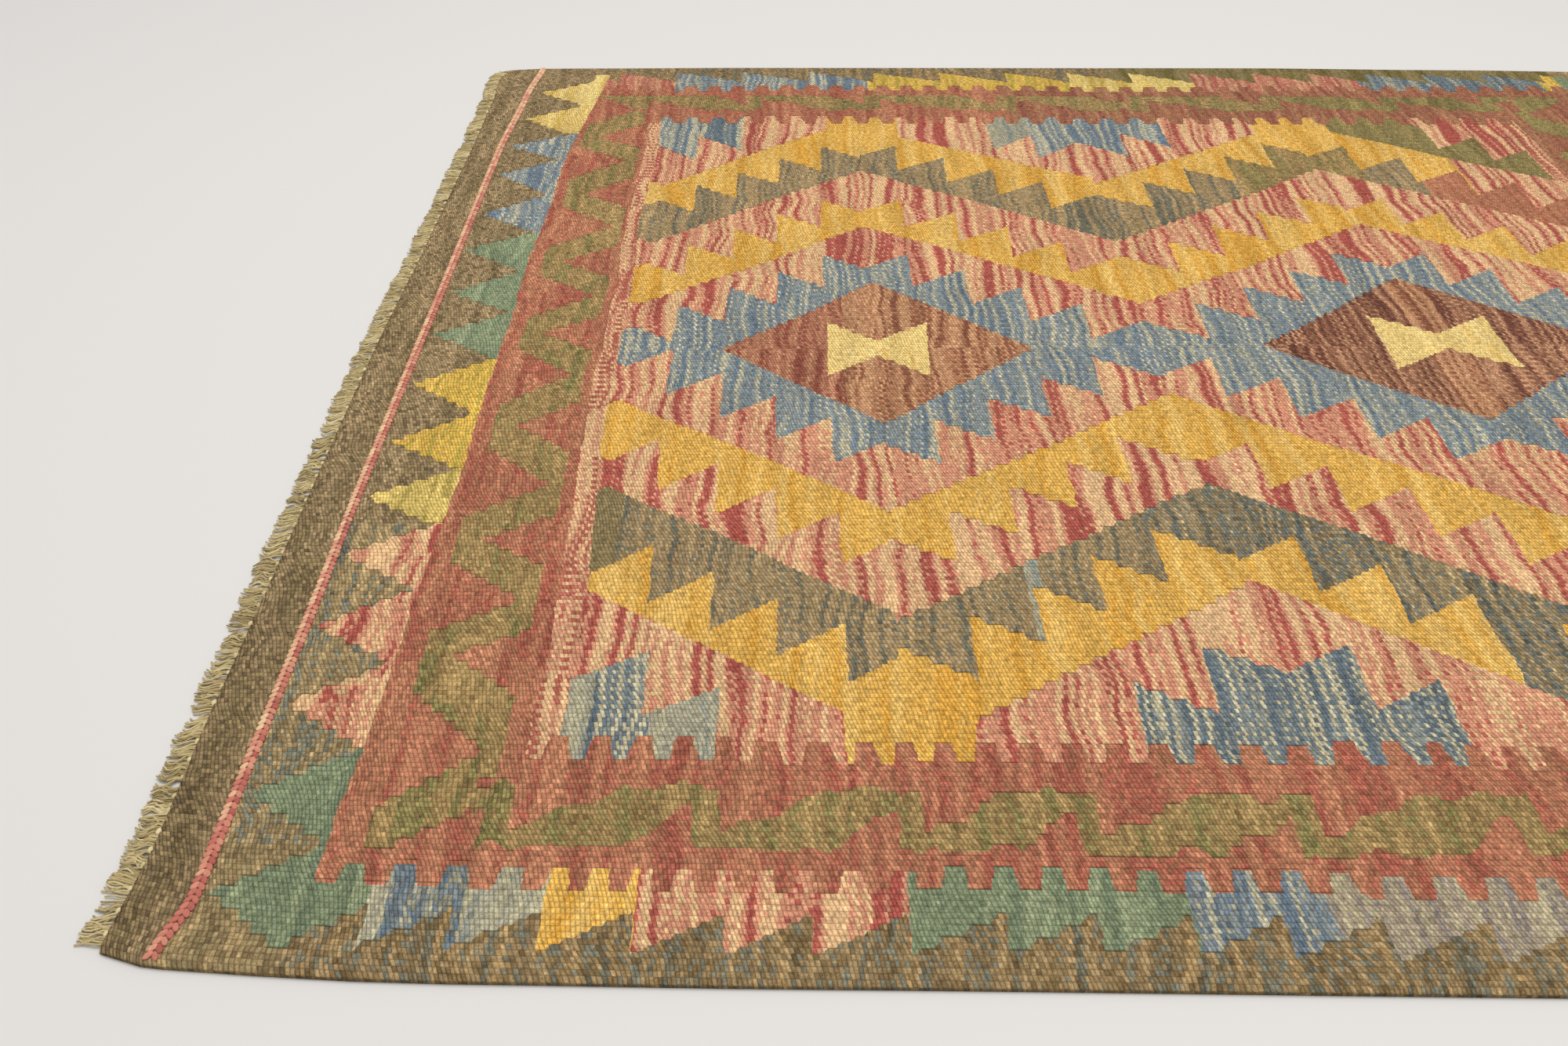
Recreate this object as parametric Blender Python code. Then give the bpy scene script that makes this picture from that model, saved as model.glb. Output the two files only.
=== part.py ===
"""Kilim rug: one flat, slit-woven wool cloth with a cut warp fringe at each end.

Units are metres. X runs along the warps, Y across the width and Z up from the floor.
The cloth lies centred on the origin with its flat underside at Z = 0.
"""

import random

import bmesh
import bpy
from mathutils import Vector, noise

MM = 0.001

# Driving sizes of the cloth.
CLOTH_LENGTH = 1066 * MM
CLOTH_WIDTH = 980 * MM
CLOTH_THICKNESS = 3.0 * MM
THINNEST_EDGE = 1.6 * MM
MIDDLE_COLUMNS = 33
MIDDLE_ROWS = 41

# The surface isn't dead level: warps pull a little tighter in some places than in others.
PUCKER_HEIGHT = 0.45 * MM
PUCKER_SPAN = 70 * MM
PUCKER_INSET = 60 * MM

# Bands of the mesh from an end inwards, with the surface's height there.
# columns: distance_in_mm, height_mm. The last rows carry the raised twined line.
END_BANDS = (
    (0.0, 2.3),
    (4.0, 2.9),
    (13.0, 2.9),
    (24.0, 2.9),
    (26.5, 4.0),
    (29.5, 4.0),
    (32.0, 3.0),
    (44.0, 3.0),
)
# The same from a side inwards, where the weft turns round doubled warps.
# columns: distance_in_mm, height_mm
SIDE_BANDS = ((0.0, 2.3), (3.0, 3.4), (8.0, 3.3), (20.0, 3.0))

# How far each edge, and the twined line beside each end, strays outwards from its true place.
# columns: place_along_edge_mm, outward_mm
LEFT_END = (
    (-490, -2), (-434, -4.5), (-340, -2.5), (-20, 0), (130, -2), (300, -3), (405, -2), (450, 1), (490, -4),
)
LEFT_LINE = ((-490, 4), (-455, -4), (-300, -3.5), (-150, -1.5), (0, -1), (292, 0.5), (405, -4), (490, -10))
RIGHT_END = ((-490, 5), (-400, 1), (-190, -1), (40, 2), (250, 0), (380, 1), (490, 8))
RIGHT_LINE = ((-490, -3), (-350, 0), (-60, 1), (210, 0), (400, 1), (490, -2))
NEAR_SIDE = ((-533, -12), (-520, -7), (-474, -3), (-400, 0), (-250, 1), (80, 2), (300, 0), (533, -6))
FAR_SIDE = ((-533, -13), (-515, -9), (-440, -8), (-300, -6), (-60, -5.5), (180, -5), (350, -9), (533, -14))
STRAY_REACH = 140 * MM
# The far side strays in its plain edge strip alone, and the pattern beside it keeps its place.
FAR_REACH = 40 * MM
LINE_DISTANCE = 28 * MM

# The fringe at each end: the cut warps, caught in small twists.
FRINGE_GAP = 0.3 * MM
ROOT_DEPTH = 2.4 * MM
ROOT_HEIGHT = 1.7 * MM
LOCKS_PER_END = 85
LOCK_ROOT_SHARE = 0.40
FRINGE_INSET = 4.0 * MM
LOCK_TIP_DRIFT = 0.9 * MM
LOCK_LENGTH_SPREAD = 0.16
# A lock swells at its twist and then fans out flat on the floor.
# columns: reach_mm, width_mm, height_mm
LOCK_SECTIONS = ((2.2, 4.6, 2.4), (5.4, 6.4, 1.7), (10.8, 8.6, 0.7))
# columns: name, end (-1 left, 1 right), seed
FRINGES = (("fringe_left", -1, 11), ("fringe_right", 1, 23))

# Finishes, in linear red, green and blue.
WOOL_COLOUR = (0.44, 0.22, 0.12)
FRINGE_COLOUR = (0.42, 0.32, 0.15)
WOOL_ROUGHNESS = 0.92


def clear_scene():
    """Remove what the scene starts with."""
    for old in list(bpy.data.objects):
        bpy.data.objects.remove(old, do_unlink=True)


def wool_material(name, colour):
    """A matt woollen finish in one colour."""
    material = bpy.data.materials.new(name)
    material.use_nodes = True
    shader = material.node_tree.nodes["Principled BSDF"]
    shader.inputs["Base Color"].default_value = (*colour, 1.0)
    shader.inputs["Roughness"].default_value = WOOL_ROUGHNESS
    shader.inputs["Metallic"].default_value = 0.0
    return material


def read_table(table, place):
    """Smooth value of a two-column table at a place."""
    if place <= table[0][0]:
        return table[0][1]
    for (start, low), (stop, high) in zip(table, table[1:]):
        if place <= stop:
            share = (place - start) / (stop - start)
            ease = share * share * (3.0 - 2.0 * share)
            return low + (high - low) * ease
    return table[-1][1]


def stations(bands, half_size, middle_cells):
    """Grid line places from one edge to the other: the bands, even cells, the bands again."""
    outer = [-half_size + distance * MM for distance, _ in bands]
    span = -2.0 * outer[-1]
    inner = [outer[-1] + span * step / middle_cells for step in range(1, middle_cells)]
    return outer + inner + [-place for place in reversed(outer)]


def fade(distance, reach):
    """Weight of an edge's stray, from 1 at the edge to 0 at its reach."""
    share = min(max(distance / reach, 0.0), 1.0)
    return 1.0 - share * share * (3.0 - 2.0 * share)


def end_stray(end_table, line_table, place, distance):
    """Outward stray near an end: the edge's own at the edge, then the twined line's."""
    at_edge = fade(distance, LINE_DISTANCE)
    edge, line = read_table(end_table, place), read_table(line_table, place)
    return (edge * at_edge + line * (1.0 - at_edge)) * fade(distance, STRAY_REACH)


def strayed(x, y):
    """Move a point of the true rectangle to where the uneven weaving puts it."""
    half_length, half_width = CLOTH_LENGTH / 2, CLOTH_WIDTH / 2
    x_mm, y_mm = x / MM, y / MM
    left = end_stray(LEFT_END, LEFT_LINE, y_mm, x + half_length)
    right = end_stray(RIGHT_END, RIGHT_LINE, y_mm, half_length - x)
    near = read_table(NEAR_SIDE, x_mm) * fade(y + half_width, STRAY_REACH)
    far = read_table(FAR_SIDE, x_mm) * fade(half_width - y, FAR_REACH)
    return x + (right - left) * MM, y + (far - near) * MM


def surface_height(x, y):
    """Height of the cloth's upper face over the point (x, y) of the true rectangle."""
    from_end = CLOTH_LENGTH / 2 - abs(x)
    from_side = CLOTH_WIDTH / 2 - abs(y)
    height = read_table(END_BANDS, from_end / MM) * MM
    side = read_table(SIDE_BANDS, from_side / MM) * MM
    height += side - CLOTH_THICKNESS
    pucker = noise.noise(Vector((x, y, 0.0)) / PUCKER_SPAN)
    inside = 1.0 - fade(min(from_end, from_side), PUCKER_INSET)
    return max(height + PUCKER_HEIGHT * pucker * inside, THINNEST_EDGE)


def end_outline(end):
    """Points of the cloth's end edge, from the near side to the far side."""
    rows = stations(SIDE_BANDS, CLOTH_WIDTH / 2, MIDDLE_ROWS)
    return [strayed(end * CLOTH_LENGTH / 2, row) for row in rows]


def outline_x(outline, y):
    """Where the straight runs between the outline's points lie at y."""
    for (low_x, low_y), (high_x, high_y) in zip(outline, outline[1:]):
        if y <= high_y:
            break
    return low_x + (high_x - low_x) * (y - low_y) / (high_y - low_y)


def new_object(name, bm, material, collection):
    """Turn a finished bmesh into an object with its material."""
    bmesh.ops.recalc_face_normals(bm, faces=bm.faces)
    mesh = bpy.data.meshes.new(name)
    bm.to_mesh(mesh)
    bm.free()
    mesh.materials.append(material)
    made = bpy.data.objects.new(name, mesh)
    collection.objects.link(made)
    return made


def build_cloth(collection):
    """The woven cloth: a grid laid to its outline, drawn up to its uneven upper face."""
    columns = stations(END_BANDS, CLOTH_LENGTH / 2, MIDDLE_COLUMNS)
    rows = stations(SIDE_BANDS, CLOTH_WIDTH / 2, MIDDLE_ROWS)
    bm = bmesh.new()
    x_cells, y_cells = len(columns) - 1, len(rows) - 1
    bmesh.ops.create_grid(bm, x_segments=x_cells, y_segments=y_cells, size=0.5)
    for vert in bm.verts:
        column = round((vert.co.x + 0.5) * x_cells)
        row = round((vert.co.y + 0.5) * y_cells)
        vert.co = (columns[column], rows[row], 0.0)
    drawn = bmesh.ops.extrude_face_region(bm, geom=list(bm.faces))["geom"]
    for vert in (item for item in drawn if isinstance(item, bmesh.types.BMVert)):
        vert.co.z = surface_height(vert.co.x, vert.co.y)
    for vert in bm.verts:
        vert.co.x, vert.co.y = strayed(vert.co.x, vert.co.y)
    material = wool_material("weft_faced_wool", WOOL_COLOUR)
    return new_object("kilim_cloth", bm, material, collection)


def draw_lock(bm, root, pick):
    """Draw one face of the root strip out into a lock, section by section."""
    centre = root.calc_center_median().y
    drift = pick.uniform(-LOCK_TIP_DRIFT, LOCK_TIP_DRIFT)
    stretch = 1.0 + pick.uniform(-LOCK_LENGTH_SPREAD, LOCK_LENGTH_SPREAD)
    tip_reach = LOCK_SECTIONS[-1][0]
    face = root
    for reach, width, height in LOCK_SECTIONS:
        face = bmesh.ops.extrude_discrete_faces(bm, faces=[face])["faces"][0]
        section_middle = centre + drift * reach / tip_reach
        last_middle = face.calc_center_median()
        for vert in face.verts:
            side = 1 if vert.co.y > last_middle.y else -1
            raised = vert.co.z > last_middle.z
            vert.co.x = ROOT_DEPTH + reach * stretch * MM
            vert.co.y = section_middle + side * width * MM / 2
            vert.co.z = height * MM if raised else 0.0


def build_fringe(name, end, seed, collection):
    """A root strip beside the cloth's end, with every other outer face drawn out into a lock."""
    pick = random.Random(seed)
    pitch = (CLOTH_WIDTH - 2 * FRINGE_INSET) / LOCKS_PER_END
    cells = 2 * LOCKS_PER_END + 1
    bm = bmesh.new()
    bmesh.ops.create_grid(bm, x_segments=1, y_segments=cells, size=0.5)
    first = -CLOTH_WIDTH / 2 + FRINGE_INSET
    for vert in bm.verts:
        index = round((vert.co.y + 0.5) * cells)
        lock, half = divmod(index - 1, 2)
        share = lock + (0.5 + LOCK_ROOT_SHARE * (half - 0.5))
        share = min(max(share, 0.0), float(LOCKS_PER_END))
        vert.co = (ROOT_DEPTH * (vert.co.x + 0.5), first + pitch * share, 0.0)
    drawn = bmesh.ops.extrude_face_region(bm, geom=list(bm.faces))["geom"]
    for vert in (item for item in drawn if isinstance(item, bmesh.types.BMVert)):
        vert.co.z = ROOT_HEIGHT
    bmesh.ops.recalc_face_normals(bm, faces=bm.faces)
    outer = [face for face in bm.faces if face.normal.x > 0.9]
    outer.sort(key=lambda face: face.calc_center_median().y)
    for root in outer[1::2]:
        draw_lock(bm, root, pick)
    outline = end_outline(end)
    for vert in bm.verts:
        vert.co.y = strayed(end * CLOTH_LENGTH / 2, vert.co.y)[1]
        vert.co.x = outline_x(outline, vert.co.y) + end * (FRINGE_GAP + vert.co.x)
    material = wool_material(name + "_warps", FRINGE_COLOUR)
    return new_object(name, bm, material, collection)


clear_scene()
rug = bpy.data.collections.new("kilim_rug")
bpy.context.scene.collection.children.link(rug)
build_cloth(rug)
for fringe_name, fringe_end, fringe_seed in FRINGES:
    build_fringe(fringe_name, fringe_end, fringe_seed, rug)
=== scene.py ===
# %% [markdown]
# # A slit-woven kilim rug
#
# This notebook dresses a plain CAD rug as the real thing: a small flat-woven wool rug that lies on a
# pale floor, seen from its near left corner. The CAD model gives every size. Here we add what a plain
# solid can't show: the ribs of the warps, each turn of weft over them, the woven design, the two-ply
# line twined along each end and the cut fringe.
#
# We start by loading the CAD model as a fixed frame. Everything below is in metres, in its axes: X runs
# along the warps, Y across the rug and Z up from the floor.

# %% Load the frame
import math
import random

import bmesh
import bpy
from mathutils import Matrix, Vector, noise


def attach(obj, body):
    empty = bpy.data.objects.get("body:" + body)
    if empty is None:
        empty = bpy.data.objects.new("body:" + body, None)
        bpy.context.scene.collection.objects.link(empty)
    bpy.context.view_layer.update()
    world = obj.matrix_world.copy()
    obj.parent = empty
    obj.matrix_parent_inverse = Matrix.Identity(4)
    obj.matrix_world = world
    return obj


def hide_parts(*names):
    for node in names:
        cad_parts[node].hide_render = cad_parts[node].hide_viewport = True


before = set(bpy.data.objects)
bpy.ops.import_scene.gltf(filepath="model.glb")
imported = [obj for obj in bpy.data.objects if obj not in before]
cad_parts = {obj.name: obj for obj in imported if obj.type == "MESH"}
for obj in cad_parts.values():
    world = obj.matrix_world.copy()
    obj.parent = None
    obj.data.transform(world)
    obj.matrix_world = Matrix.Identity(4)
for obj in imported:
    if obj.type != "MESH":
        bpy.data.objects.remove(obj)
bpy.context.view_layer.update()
MM = 0.001
print("nodes:", ", ".join(sorted(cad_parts)))

# %% [markdown]
# ## The camera
#
# The camera looks down at the rug from its near side. Its place and its three turns were worked out
# from the rug's straight edges, so the corner and the far side fall where the eye sees them. A lens is
# given by its focal length in pixels of the picture, which we turn into the millimetres Blender wants.

# %% Camera
PICTURE_WIDTH = 2000
FOCAL_PIXELS = 1700
SENSOR_WIDTH = 36.0
CLIP_START = 0.02
PITCH_DOWN, YAW, ROLL = 0.68661, -0.01337, 0.00339
CAMERA_PLACE = Vector((-0.25053, -0.78033, 0.47483))

forward = Vector((
    math.sin(YAW) * math.cos(PITCH_DOWN), math.cos(YAW) * math.cos(PITCH_DOWN), -math.sin(PITCH_DOWN),
))
level_right = Vector((math.cos(YAW), -math.sin(YAW), 0.0))
level_down = forward.cross(level_right)
right = level_right * math.cos(ROLL) + level_down * math.sin(ROLL)
down = level_down * math.cos(ROLL) - level_right * math.sin(ROLL)
camera_data = bpy.data.cameras.new("camera")
camera_data.sensor_fit = "HORIZONTAL"
camera_data.sensor_width = SENSOR_WIDTH
camera_data.lens = SENSOR_WIDTH * FOCAL_PIXELS / PICTURE_WIDTH
camera_data.clip_start = CLIP_START
camera = bpy.data.objects.new("camera", camera_data)
turn = Matrix((right, -down, -forward)).transposed().to_4x4()
camera.matrix_world = Matrix.Translation(CAMERA_PLACE) @ turn
bpy.context.scene.collection.objects.link(camera)
bpy.context.scene.camera = camera
print("lens in mm:", round(camera_data.lens, 1))

# %% [markdown]
# ## Helpers
#
# Colours are written as the web's sRGB hex values, because that is how we read them off things. Blender
# mixes light in linear values, so one function turns a hex value into those. A second function adds a
# shader node with its settings and whatever feeds its inputs.
#
# A third lays lines of sums as nodes, so that a long rule reads like a worked example instead of a tangle
# of wires. A line names its answer and then gives one operation after another, each with its terms. From
# the second on, an operation takes the answer so far as its first term. CHOOSE takes a switch, the value
# where it is 0 and the value where it is 1, and CLAMP keeps its first term between the two others. The
# other operations are those of Blender's Math node, such as MULTIPLY_ADD, which multiplies the first two
# terms and adds the third.

# %% Helper functions
def linear(hex_colour):
    """Turn an sRGB hex colour into linear red, green, blue and a full alpha."""
    channels = [int(hex_colour[start:start + 2], 16) / 255 for start in (1, 3, 5)]
    return (*[c / 12.92 if c <= 0.04045 else ((c + 0.055) / 1.055) ** 2.4 for c in channels], 1.0)


def add_node(tree, kind, takes=(), stops=(), blend="CONSTANT", **settings):
    """Add one node: its settings, a ramp's stops, and a value or a link for each input it takes."""
    node = tree.nodes.new("ShaderNode" + kind)
    for setting, value in settings.items():
        setattr(node, setting, value)
    if stops:
        node.color_ramp.interpolation = blend
    for count, (place, colour) in enumerate(stops):
        elements = node.color_ramp.elements
        stop = elements[0] if count == 0 else elements.new(place)
        stop.position, stop.color = place, colour
        if count == 0:
            elements.remove(elements[1])
    for number, taken in (takes.items() if isinstance(takes, dict) else enumerate(takes)):
        if isinstance(taken, bpy.types.NodeSocket):
            tree.links.new(taken, node.inputs[number])
        else:
            node.inputs[number].default_value = taken
    return node


def work_out(tree, known, sums):
    """Lay lines of sums, a node to an operation, and keep each line's answer under its name."""
    for line in sums.strip().splitlines():
        name, steps = line.strip().split(" = ")
        answer = []
        for step in steps.split(", "):
            operation, *words = step.split()
            terms = answer + [known[word] if word in known else float(word) for word in words]
            if operation == "CHOOSE":
                node = add_node(tree, "Mix", dict(zip((0, 2, 3), terms)))
            elif operation == "CLAMP":
                node = add_node(tree, "Clamp", terms)
            else:
                node = add_node(tree, "Math", terms, operation=operation)
            answer = [node.outputs[0]]
        known[name] = answer[0]


def read_numbers(tree, share, rows):
    """Read rows of four numbers, stacked as a ramp's hard stops, at a share from 0 to 1."""
    stops = [(count / len(rows), row) for count, row in enumerate(rows)]
    ramp = add_node(tree, "ValToRGB", (share,), stops)
    return [*add_node(tree, "SeparateColor", (ramp.outputs[0],)).outputs, ramp.outputs[1]]


def matt_material(name, roughness, specular=0.5):
    """A new matt material, with its node tree and its shader."""
    material = bpy.data.materials.new(name)
    material.use_nodes = True
    shader = material.node_tree.nodes["Principled BSDF"]
    shader.inputs["Roughness"].default_value = roughness
    shader.inputs["Specular IOR Level"].default_value = specular
    return material, material.node_tree, shader


def finished_piece(name, bm, material):
    """Turn a bmesh into a smooth object at the origin that rides on the rug's one body."""
    mesh = bpy.data.meshes.new(name)
    for face in bm.faces:
        face.smooth = True
    bm.to_mesh(mesh)
    bm.free()
    mesh.materials.append(material)
    piece = bpy.data.objects.new(name, mesh)
    bpy.context.scene.collection.objects.link(piece)
    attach(piece, "root")
    mesh.calc_loop_triangles()
    print(name, "has", len(mesh.loop_triangles), "triangles")
    return piece


# %% [markdown]
# ## The floor and the light
#
# The floor is a painted one, pale and matt. The light is what a white room gives: an even sky from all
# round, and one wide soft lamp high above the rug, which is just enough to round the ribs and the turns
# of weft.

# %% Floor and light
FLOOR_COLOUR, FLOOR_HALF, FLOOR_ROUGHNESS = "#D7D4D0", 4.0, 0.7
SKY_STRENGTH = 0.66
LAMP_WATTS, LAMP_SIZE = 36.0, (2.4, 1.6)
LAMP_PLACE = Vector((0.05, 0.1, 2.3))

floor_paint, _, floor_shader = matt_material("matt_floor_paint", FLOOR_ROUGHNESS)
floor_shader.inputs["Base Color"].default_value = linear(FLOOR_COLOUR)
bm = bmesh.new()
bmesh.ops.create_grid(bm, x_segments=1, y_segments=1, size=FLOOR_HALF)
bm.normal_update()
floor_mesh = bpy.data.meshes.new("floor")
bm.to_mesh(floor_mesh)
bm.free()
floor_mesh.materials.append(floor_paint)
floor = bpy.data.objects.new("floor", floor_mesh)
bpy.context.scene.collection.objects.link(floor)

world = bpy.data.worlds.new("white_room")
world.use_nodes = True
sky = world.node_tree.nodes["Background"]
sky.inputs["Color"].default_value = linear("#FFFFFF")
sky.inputs["Strength"].default_value = SKY_STRENGTH
bpy.context.scene.world = world

lamp_data = bpy.data.lights.new("soft_lamp", "AREA")
lamp_data.shape = "RECTANGLE"
lamp_data.size, lamp_data.size_y = LAMP_SIZE
lamp_data.energy = LAMP_WATTS
lamp = bpy.data.objects.new("soft_lamp", lamp_data)
aim = (-LAMP_PLACE).to_track_quat("-Z", "Y").to_matrix().to_4x4()
lamp.matrix_world = Matrix.Translation(LAMP_PLACE) @ aim
bpy.context.scene.collection.objects.link(lamp)
bpy.context.scene.view_settings.view_transform = "Standard"
print("floor and light are set")

# %% [markdown]
# ## The outline
#
# A hand-woven rug is never a true rectangle. The CAD source lays a true rectangle out and then lets each
# edge stray by a few millimetres, from short tables. We repeat those tables here, because our cloth has
# to lie exactly where the CAD cloth does.

# %% Sizes and tables of the outline
CLOTH_LENGTH, CLOTH_WIDTH, CLOTH_THICKNESS = 1066 * MM, 980 * MM, 3.0 * MM
PUCKER_HEIGHT, PUCKER_SPAN, PUCKER_INSET = 0.45 * MM, 70 * MM, 60 * MM
STRAY_REACH, FAR_REACH, LINE_DISTANCE = 140 * MM, 40 * MM, 28 * MM
# columns: distance from the edge in mm, height of the upper face in mm
END_BANDS = ((0.0, 2.3), (4.0, 2.9), (24.0, 2.9), (33.0, 3.0))
SIDE_BANDS = ((0.0, 2.3), (3.0, 3.4), (8.0, 3.3), (20.0, 3.0))
# columns: place along the edge in mm, how far it strays outwards in mm
LEFT_END = (
    (-490, -2), (-434, -4.5), (-340, -2.5), (-20, 0), (130, -2), (300, -3), (405, -2), (450, 1), (490, -4),
)
LEFT_LINE = ((-490, 4), (-455, -4), (-300, -3.5), (-150, -1.5), (0, -1), (292, 0.5), (405, -4), (490, -10))
RIGHT_END = ((-490, 5), (-400, 1), (-190, -1), (40, 2), (250, 0), (380, 1), (490, 8))
RIGHT_LINE = ((-490, -3), (-350, 0), (-60, 1), (210, 0), (400, 1), (490, -2))
NEAR_SIDE = ((-533, -12), (-520, -7), (-474, -3), (-400, 0), (-250, 1), (80, 2), (300, 0), (533, -6))
FAR_SIDE = ((-533, -13), (-515, -9), (-440, -8), (-300, -6), (-60, -5.5), (180, -5), (350, -9), (533, -14))


def read_table(table, place):
    """Smooth value of a two-column table at a place."""
    if place <= table[0][0]:
        return table[0][1]
    for (start, low), (stop, high) in zip(table, table[1:]):
        if place <= stop:
            share = (place - start) / (stop - start)
            return low + (high - low) * share * share * (3.0 - 2.0 * share)
    return table[-1][1]


def fade(distance, reach):
    """Weight of an edge's stray, from 1 at the edge to 0 at its reach."""
    share = min(max(distance / reach, 0.0), 1.0)
    return 1.0 - share * share * (3.0 - 2.0 * share)


def end_stray(end_table, line_table, place, distance):
    """Outward stray near an end: the edge's own at the edge, then the twined line's."""
    at_edge = fade(distance, LINE_DISTANCE)
    edge, line = read_table(end_table, place), read_table(line_table, place)
    return (edge * at_edge + line * (1.0 - at_edge)) * fade(distance, STRAY_REACH)


def strayed(x, y):
    """Move a point of the true rectangle to where the uneven weaving puts it."""
    left = end_stray(LEFT_END, LEFT_LINE, y / MM, x + CLOTH_LENGTH / 2)
    right = end_stray(RIGHT_END, RIGHT_LINE, y / MM, CLOTH_LENGTH / 2 - x)
    near = read_table(NEAR_SIDE, x / MM) * fade(y + CLOTH_WIDTH / 2, STRAY_REACH)
    far = read_table(FAR_SIDE, x / MM) * fade(CLOTH_WIDTH / 2 - y, FAR_REACH)
    return x + (right - left) * MM, y + (far - near) * MM


def surface_height(x, y):
    """Height of the cloth's upper face over the point (x, y) of the true rectangle."""
    from_end, from_side = CLOTH_LENGTH / 2 - abs(x), CLOTH_WIDTH / 2 - abs(y)
    height = (read_table(END_BANDS, from_end / MM) + read_table(SIDE_BANDS, from_side / MM)) * MM
    pucker = noise.noise(Vector((x, y, 0.0)) / PUCKER_SPAN)
    inside = 1.0 - fade(min(from_end, from_side), PUCKER_INSET)
    return height - CLOTH_THICKNESS + PUCKER_HEIGHT * pucker * inside


near_corner = strayed(-CLOTH_LENGTH / 2, -CLOTH_WIDTH / 2)
print("the near left corner strays to", [round(value / MM, 1) for value in near_corner], "mm")

# %% [markdown]
# ## The cloth
#
# In a weft-faced weave the warps are hidden. All one sees of them are the ribs that they raise: here 345
# of them, 2.84 mm apart, running from fringe to fringe. They could be bump in the material, but the rug
# is seen from close by, and its near edge shows them in profile, so they are real: the grid has four
# cells across every rib, and each row's height follows a round rib. Along the ribs the cloth changes
# slowly, so few columns do. One grid is drawn up to its thickness, which closes it all round.
#
# Each point also keeps its place in the true rectangle, in millimetres, as an attribute. The design is
# worked out from that, so it bends with the cloth exactly as weaving does.

# %% Ribbed cloth
RIB_COUNT = 345
RIB_PITCH = CLOTH_WIDTH / RIB_COUNT
CELLS_PER_RIB = 4
RIB_RELIEF = 0.26 * MM
MIDDLE_COLUMNS = 27


def rib_sink(row):
    """How far a row of the grid lies below its rib's crown."""
    around = math.pi * (row % CELLS_PER_RIB) / CELLS_PER_RIB
    return RIB_RELIEF * (1.0 - math.sin(around))


outer = [-CLOTH_LENGTH / 2 + distance * MM for distance, _ in END_BANDS]
step = -2 * outer[-1] / MIDDLE_COLUMNS
inner = [outer[-1] + step * count for count in range(1, MIDDLE_COLUMNS)]
columns = outer + inner + [-x for x in reversed(outer)]
row_count = RIB_COUNT * CELLS_PER_RIB
cloth_bm = bmesh.new()
bmesh.ops.create_grid(cloth_bm, x_segments=len(columns) - 1, y_segments=row_count, size=0.5)
weave_place = cloth_bm.verts.layers.float_vector.new("weave")
for vert in cloth_bm.verts:
    column = round((vert.co.x + 0.5) * (len(columns) - 1))
    row = round((vert.co.y + 0.5) * row_count)
    x, y = columns[column], CLOTH_WIDTH * (row / row_count - 0.5)
    vert.co = (x, y, rib_sink(row))
    vert[weave_place] = (x / MM, y / MM, 0.0)
drawn = bmesh.ops.extrude_face_region(cloth_bm, geom=list(cloth_bm.faces))["geom"]
for vert in (item for item in drawn if isinstance(item, bmesh.types.BMVert)):
    vert.co.z = surface_height(vert.co.x, vert.co.y) - vert.co.z
for vert in cloth_bm.verts:
    vert.co.x, vert.co.y = strayed(vert.co.x, vert.co.y)
bmesh.ops.recalc_face_normals(cloth_bm, faces=cloth_bm.faces)
print(len(columns), "columns and", row_count + 1, "rows of points")
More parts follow.
